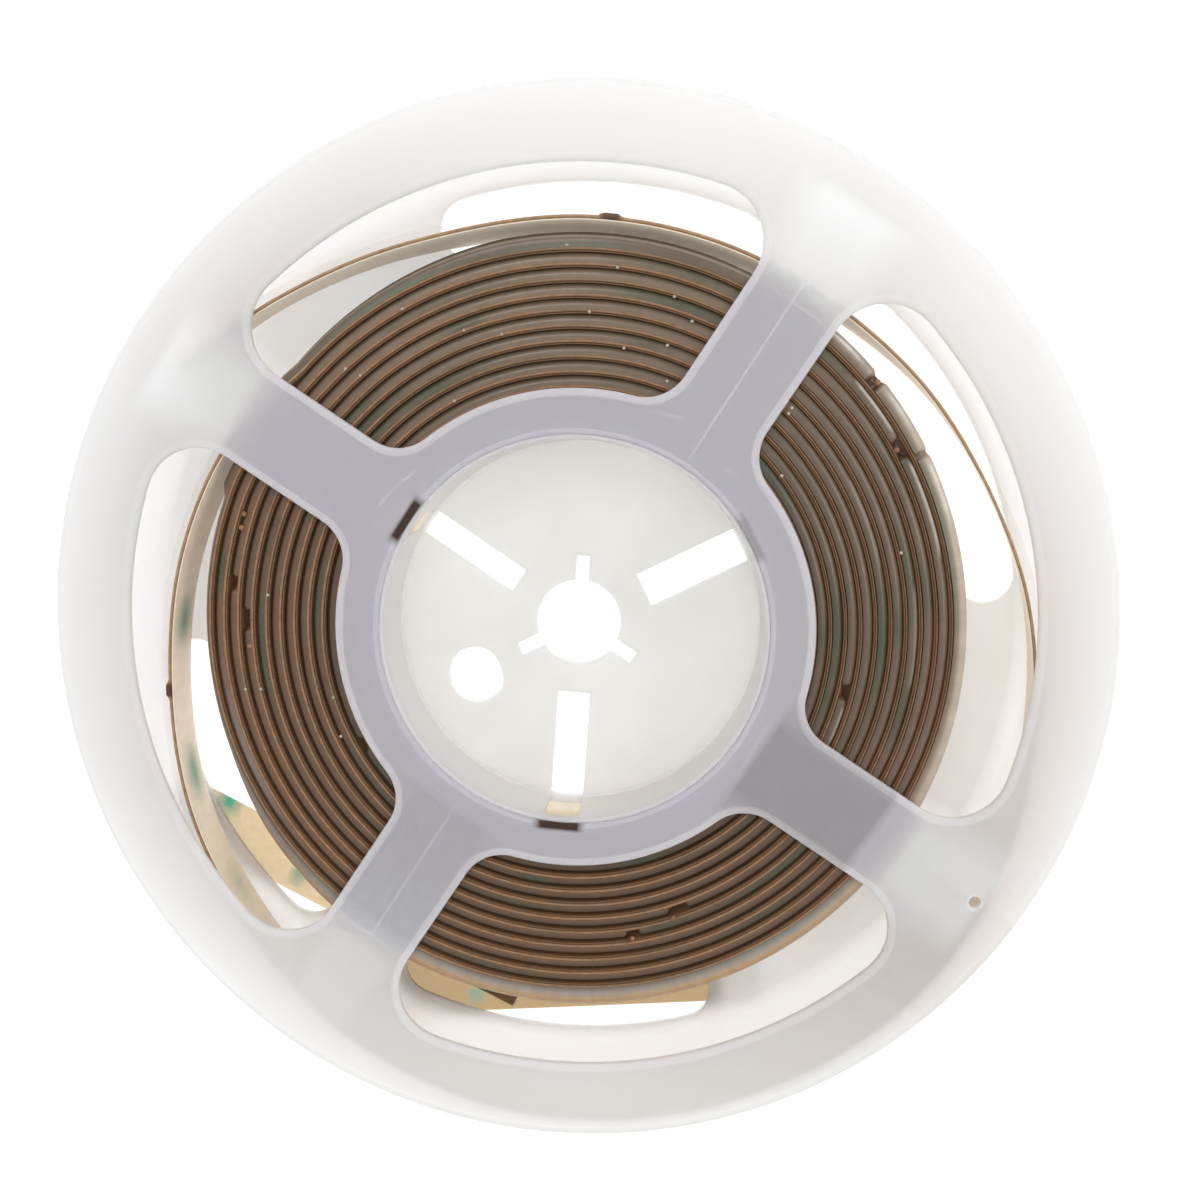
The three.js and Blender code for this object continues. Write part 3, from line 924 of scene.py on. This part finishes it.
# The same for the outermost wound turn, also painted light and shade, with painted highlight bands.
OUTERMOST_SIDES = (
    (90, 75, ((0, (112, 94, 76)), (0.6, (106, 91, 75)), (0.72, (156, 142, 125)), (0.86, (80, 66, 48)),
              (1, (64, 50, 34)))),
    (8, 70, ((0, (124, 102, 80)), (0.3, (154, 134, 112)), (0.5, (190, 173, 154)), (1, (210, 198, 182)))),
    (190, 60, ((0, (84, 61, 42)), (0.25, (134, 117, 106)), (0.6, (140, 123, 112)), (0.8, (112, 84, 58)),
               (1, (148, 110, 76)))),
    (272, 80, ((0, (120, 106, 94)), (0.3, (164, 152, 142)), (0.48, (184, 160, 134)), (0.6, (196, 160, 120)),
               (1, (188, 150, 110)))),
)
# Painted shade: the inner turns are darker, the innermost down to this share.
INNER_TURN_SHADE = 0.72


def stop_colour(stops, share):
    for (low, first), (high, second) in zip(stops, stops[1:]):
        if share <= high:
            return mixed(linear(first), linear(second), (share - low) / (high - low))
    return linear(stops[-1][1])


def seen_colour(sides, degrees, share):
    """Blends the colours of the sides that reach this angle."""
    total, colour = 1e-6, (0.0, 0.0, 0.0)
    for centre, half, stops in sides:
        weight = side_share(degrees, centre, half)
        total += weight
        colour = tuple(c + weight * s for c, s in zip(colour, stop_colour(stops, share)))
    return tuple(c / total for c in colour)


# Painted highlights, glints on the crown of the coating: turn, from angle, to angle, strength.
GLINTS = [(11, 42.6, 52.0, 0.9), (11, 30.5, 38.0, 0.6), (11, 16.0, 26.4, 0.75), (10, 31.6, 42.0, 0.8),
          (10, 12.0, 27.6, 0.7), (4, 335.0, 345.0, 0.5), (6, 12.0, 30.0, 0.2), (8, 350.0, 368.0, 0.25)]


def glint_share(turn, degrees, share):
    strongest = 0.0
    for where, start, end, strength in GLINTS:
        if where == turn:
            within = (degrees - start) % 360
            ends = smooth(within, 0, 2.5) * (1 - smooth(within, end - start - 1.5, end - start))
            strongest = max(strongest, strength * ends * max(0.0, 1 - abs(share - 0.72) / 0.2))
    return strongest


random.seed(11)
green_runs = [(random.randrange(0, 12), random.uniform(0, 360), random.uniform(5, 22),
               random.uniform(0.35, 0.9)) for _ in range(70)]
green_by_turn = {}
for turn, angle, half, strength in green_runs:
    green_by_turn.setdefault(turn, []).append((angle, half, strength))


def green_share(turn, degrees):
    share = 0.0
    for angle, half, strength in green_by_turn.get(turn, ()):
        share = max(share, strength * side_share(degrees, angle, half))
    return share


# The outermost wound turn is a little slack: its outer edge's radius by angle.
OUTER_EDGE = [(158, 55.2), (185, 55.0), (200, 55.4), (213, 56.4), (240, 57.2), (268, 57.4), (300, 57.2),
              (335, 56.8), (360, 56.4), (380, 56.4), (420, 56.5), (460, 56.7), (496, 55.83), (518, 55.83)]
COAT_PROFILE = 11
CROWN_POINTS = 8
TIGHT_FIT = 0.17


def coat_width(turn, degrees, radius):
    if turn >= TURNS:
        return STRIP_THICKNESS
    if turn < TURNS - 1:
        return STRIP_THICKNESS + TIGHT_FIT
    angle = OUTER_EDGE[0][0] + (degrees - OUTER_EDGE[0][0]) % 360
    for (low, first), (high, second) in zip(OUTER_EDGE, OUTER_EDGE[1:]):
        if angle <= high:
            return first + (second - first) * (angle - low) / (high - low) - radius
    return STRIP_THICKNESS


def coat_profile(section):
    place, outward, turn, loosened, length, lean, degrees = section
    depth = joint_depth(turn, loosened, degrees, place.length)
    low, high = STRIP_Z
    inner = TAPE_THICKNESS - 0.03
    outer = coat_width(turn, degrees, place.length) - depth * (0.25 if turn == TURNS - 1 else 0.95)
    crown = high - 0.02 - depth * 1.1
    round_off = 0.55 + 0.5 * (1 - side_share(degrees, 50, 110))
    profile = []
    for k in range(CROWN_POINTS):
        share = k / (CROWN_POINTS - 1)
        away = inner + (outer - inner) * share
        drop = round_off * max(0.0, (share - 0.25) / 0.75) ** 2.4
        profile.append((away, crown - drop))
    profile.append((outer, crown - round_off - 0.6))
    profile.append((outer, low + 0.3))
    profile.append((inner, low))
    return profile


def coat_colour(section, k, count):
    place, outward, turn, loosened, length, lean, degrees = section
    share = min(1.0, k / (CROWN_POINTS - 1))
    depth = joint_depth(turn, loosened, degrees, place.length)
    green = green_share(turn, degrees)
    if turn >= TURNS:
        colour = mixed(seen_colour(OUTERMOST_SIDES, degrees, share), WHITISH, smooth(loosened, 0.02, 0.10))
    elif turn == TURNS - 1:
        colour = seen_colour(OUTERMOST_SIDES, degrees, share)
        colour = mixed(colour, TEAL, 0.7 * green * max(0.0, 1 - share * 2.2))
    else:
        colour = seen_colour(COAT_SIDES, degrees, share)
        shade = INNER_TURN_SHADE + (1 - INNER_TURN_SHADE) * turn / (TURNS - 2)
        colour = mixed(tuple(c * shade for c in colour), GREEN, 0.75 * green)
        if turn == TURNS - 2:
            colour = mixed(colour, LILAC, 0.85 * side_share(degrees, 201, 20))
    # Painted highlights: the glints.
    colour = mixed(colour, GLINT, glint_share(turn, degrees, share))
    return mixed(colour, JOINT_HOLLOW, min(1.0, depth * 1.2))


coating = coating_material("clear_coating")
loose_coating = coating_material("clear_coating_loose", loose=True)
points, faces, colours, uvs = sweep(coat_profile, coat_colour)
strip = build("strip_coating", points, faces, coating, "led_strip")
paint(strip, "tint", colours)
unwrap(strip, lambda i: (uvs[i][0], uvs[i][1] * 0.0006))
strip.data.materials.append(loose_coating)
wound_faces = COAT_PROFILE * (len(ROUTE) - LOOSE_STEPS + 6)
for face in strip.data.polygons:
    face.material_index = 1 if face.index >= wound_faces else 0
steady_normals(strip, 60)

# The tape's edge is tan on the top, left and bottom and darker copper on the right: a painted light and shade by side.
TAN = linear((164, 124, 90))
COPPER = linear((140, 100, 68))
LOOSE_TAPE = linear((186, 150, 110))
JOINT_MARK = linear((84, 54, 30))


def tape_profile(section):
    place, outward, turn, loosened, length, lean, degrees = section
    low, high = STRIP_Z
    width = TAPE_THICKNESS - 0.16 * side_share(degrees, 12, 70)
    if turn >= TURNS:
        width = TAPE_THICKNESS + 0.9 * joint_depth(turn, loosened, degrees, place.length)
    return [(0.0, high - 0.12), (0.08, high), (width - 0.08, high), (width, high - 0.12), (width, low), (0.0, low)]


def tape_colour(section, k, count):
    place, outward, turn, loosened, length, lean, degrees = section
    if turn >= TURNS:
        mark = joint_depth(turn, loosened, degrees, place.length)
        return mixed(LOOSE_TAPE, JOINT_MARK, min(1.0, 2 * mark))
    # Painted light and shade: tan and copper blend by side.
    colour = mixed(TAN, COPPER, side_share(degrees, 12, 70))
    return mixed(colour, GREEN, 0.4 * green_share(turn, degrees + 20))


points, faces, colours, uvs = sweep(tape_profile, tape_colour)
tape = build("strip_tape", points, faces, tape_material())
paint(tape, "tint", colours)
unwrap(tape, lambda i: (uvs[i][0], uvs[i][1] * 0.0006))
steady_normals(tape, 60)


PAPER = linear((244, 230, 208))
PAPER_EDGE = linear((120, 88, 60))
SLOT_CREAM = linear((238, 226, 200))
PAPER_TEAL = linear((96, 150, 122))
TEAL_PATCHES = ((179.5, 5.5, 0.9), (201.5, 6.0, 0.9), (218.0, 5.0, 0.3))
SLOT_TAN = linear((214, 186, 140))
SLOT_SPLIT = (6.2, 7.2)


def liner_profile(section):
    inner, outer = -LINER_GAP - LINER_THICKNESS, -LINER_GAP
    low, high = LINER_Z
    return [(inner, high), (outer, high), (outer, low), (inner, low), (inner, SLOT_SPLIT[0]), (inner, SLOT_SPLIT[1])]


def liner_colour(section, k, count):
    """Paper on the loose turn, darker edges in the roll, cream low down behind the barrel's slots, and painted shade
    on the rest of the innermost turn.
    """
    place, outward, turn, loosened, length, lean, degrees = section
    if turn >= TURNS:
        colour = mixed(PAPER_EDGE, PAPER, smooth(loosened, 0.0, 0.04))
        for angle, half, strength in TEAL_PATCHES:
            colour = mixed(colour, PAPER_TEAL, strength * side_share(degrees, angle, half) * (k in (4, 5)))
        return colour
    if turn == 0:
        return SLOT_CREAM if k in (3, 4) else HOLLOW
    return PAPER_EDGE


points, faces, colours, uvs = sweep(liner_profile, liner_colour)
heights = [p[2] for p in points]
liner = build("liner_band", points, faces, liner_material("liner_print", 0.72), "release_liner")
paint(liner, "tint", colours)
unwrap(liner, lambda i: (uvs[i][0], (heights[i] - LINER_Z[0]) * MM))
steady_normals(liner, 30)

# Two loose plies of liner under the rear flange.
TAIL_LEGS = ((-27, -57, -45, 19, 0.0), (4.4, -58.4, -44, 24.2, 0.08))
TAIL_PAPERS = (linear((197, 167, 119)), linear((141, 100, 52)))
TAIL_GREEN = linear((24, 112, 62))
TAIL_WIDTH = 9.4
TAIL_ROWS = 8
CORNER_PRINT = (-57.2, -30.3, 3.4)
OPENINGS = []
for axis in (SPOKE_ANGLE, SPOKE_ANGLE + 180):
    OPENINGS += [turned(rear_window(), axis), turned(mirrored(rear_window()), axis)]


def outside_by(point, outline):
    """How far a point lies outside an outline, and 0 inside it."""
    x, y = point
    inside, nearest = False, 1e9
    for (ax, ay), (bx, by) in zip(outline, outline[1:] + outline[:1]):
        if (ay > y) != (by > y) and x < (bx - ax) * (y - ay) / (by - ay) + ax:
            inside = not inside
        length = (bx - ax) ** 2 + (by - ay) ** 2
        share = min(1.0, max(0.0, ((x - ax) * (bx - ax) + (y - ay) * (by - ay)) / length))
        nearest = min(nearest, math.dist(point, (ax + (bx - ax) * share, ay + (by - ay) * share)))
    return 0.0 if inside else nearest


def tail_tint(point, paper, printed):
    """The paper's colour, paler and thinner where the flange hides it, so that it shades the flange less (painted
    light), and green at one printed corner.
    """
    hidden = min(outside_by(point, outline) for outline in OPENINGS)
    colour = mixed(paper, WHITISH, smooth(hidden, 0.8, 2.6))
    if printed:
        away = math.dist(point, CORNER_PRINT[:2])
        colour = mixed(TAIL_GREEN, colour, smooth(away, 0.8, CORNER_PRINT[2]))
    return (*colour, 1 - 0.8 * smooth(hidden, 0.8, 2.6))


def tail_leg(angle, distance, start, end, low):
    steps = 60
    points, faces, plan = [], [], []
    half = TAIL_WIDTH / 2
    across = [half * (2 * j / (TAIL_ROWS - 1) - 1) for j in range(TAIL_ROWS)]
    loop = [(y, low) for y in across] + [(y, low + 0.08) for y in reversed(across)]
    count = len(loop)
    for i in range(steps + 1):
        x = start + (end - start) * i / steps
        for y, z in loop:
            px, py = turned([(x, distance + y)], angle)[0]
            points.append((px, py, z))
            plan.append((x * MM, (y + half) * MM))
    for i in range(steps):
        for k in range(count):
            a, b = i * count + k, i * count + (k + 1) % count
            faces.append((a, a + count, b + count, b))
    faces.append(tuple(range(count)))
    last = steps * count
    faces.append(tuple(last + k for k in reversed(range(count))))
    return points, faces, plan


tail_paper = liner_material("tail_print", 0.56, thin=True)
for index, leg in enumerate(TAIL_LEGS):
    points, faces, plan = tail_leg(*leg)
    ply = build(f"liner_tail_ply_{index + 1}", points, faces, tail_paper, "liner_tail")
    unwrap(ply, lambda i: plan[i])
    paint(ply, "tint", [tail_tint(point[:2], TAIL_PAPERS[index], index == 0) for point in points])
    steady_normals(ply, 30)

# Small clear beads and brown lumps on the coating: turn, counted from the innermost, and angle.
BEADS = [(10, 117.8), (9, 131.0), (8, 129.8), (7, 109.8), (3, 117.2), (6, 103.4), (6, 45.7), (3, 37.1),
         (11.2, 90.8), (8.8, 73.2), (7.65, 69.1), (5.65, 71.8), (4.8, 79.8), (3.45, 69.5), (9.9, 83.0),
         (6.9, 87.0), (8.1, 14.0), (6.4, 46.0), (6.9, 173.8), (7.9, 191.2), (9.0, 190.7), (3.0, 196.1),
         (3.55, 205.0)]
LUMPS = [(9.6, 160.8), (9.5, 163.1), (6.9, 289.1), (7.7, 280.7), (11.6, 39.7), (10.2, 29.8), (8.2, 183.3)]


def beads(name, spots, radius, stops, rough):
    """Half-round drops on the strip's upper edge."""
    points, faces = [], []
    base = STRIP_Z[1] - 0.06
    for turn, degrees in spots:
        cx, cy = polar(FIRST_LINE + PITCH * turn + 0.2, degrees)
        first = len(points)
        for ring in range(1, 5):
            slope = math.pi * ring / 8
            for i in range(10):
                a = 2 * math.pi * i / 10
                points.append((cx + radius * math.sin(slope) * math.cos(a),
                               cy + radius * math.sin(slope) * math.sin(a), base + radius * 0.9 * math.cos(slope)))
        points.append((cx, cy, base + radius * 0.9))
        points.append((cx, cy, base - 0.14))
        for ring in range(3):
            for i in range(10):
                a, b = first + ring * 10 + i, first + ring * 10 + (i + 1) % 10
                faces.append((a, a + 10, b + 10, b))
        for i in range(10):
            faces.append((first + 40, first + i, first + (i + 1) % 10))
            faces.append((first + 41, first + 30 + (i + 1) % 10, first + 30 + i))
    nodes = Nodes(name)
    nodes.join(nodes.ramp(nodes.noise(800, 2), [(0.3, linear(stops[0])), (0.7, linear(stops[1]))]),
               nodes.shader.inputs["Base Color"])
    nodes.set(Roughness=rough, Coat_Weight=0.6)
    build(name, points, faces, nodes.material)


beads("clear_beads", BEADS, 0.26, ((176, 162, 144), (214, 204, 190)), 0.2)
beads("brown_lumps", LUMPS, 0.45, ((120, 80, 52), (168, 122, 84)), 0.35)


def slot_linings():
    """The innermost turn's paper where it shows in the wall slots."""
    points, faces, colours, places = [], [], [], []
    steps = 8
    row = 2 * (steps + 1)
    for index in range(3):
        half = FLOOR_SLOT_WIDTHS[index] / 2 - 0.05
        heights = (4.8, 8.3, WALL_SLOT_Z[1] - 0.05)
        first = len(points)
        for height, colour in zip(heights, (SLOT_CREAM, SLOT_CREAM, SLOT_TAN)):
            for i in range(steps + 1):
                across = half * (2 * i / steps - 1)
                for radius in (28.05, 28.35):
                    along = math.sqrt(radius ** 2 - across ** 2)
                    x, y = turned([(along, across)], FLOOR_SLOT_ANGLE + 120 * index)[0]
                    points.append((x, y, height))
                    colours.append(colour)
                    places.append((across * MM, height * MM))
        ring = [2 * i for i in range(steps + 1)] + [2 * i + 1 for i in reversed(range(steps + 1))]
        for level in range(len(heights) - 1):
            for a, b in zip(ring, ring[1:] + ring[:1]):
                base = first + level * row
                faces.append((base + b, base + a, base + a + row, base + b + row))
        faces.append(tuple(first + k for k in ring))
        faces.append(tuple(first + row * (len(heights) - 1) + k for k in reversed(ring)))
    return points, faces, colours, places


points, faces, colours, places = slot_linings()
lining = build("liner_in_wall_slots", points, faces, liner_material("slot_paper", 0.72))
paint(lining, "tint", colours)
unwrap(lining, lambda i: places[i])
steady_normals(lining, 30)

# Floor.
size = 1500
floor_mesh = bpy.data.meshes.new("floor")
floor_mesh.from_pydata([(-size * MM, -size * MM, -5e-5), (size * MM, -size * MM, -5e-5),
                        (size * MM, size * MM, -5e-5), (-size * MM, size * MM, -5e-5)], [], [(0, 1, 2, 3)])
floor = bpy.data.objects.new("floor", floor_mesh)
bpy.context.scene.collection.objects.link(floor)
nodes = Nodes("pale_floor")
nodes.set(Base_Color=(0.5, 0.5, 0.5, 1), Roughness=0.8, Emission_Color=(1, 1, 1, 1), Emission_Strength=0.8)
floor_mesh.materials.append(nodes.material)
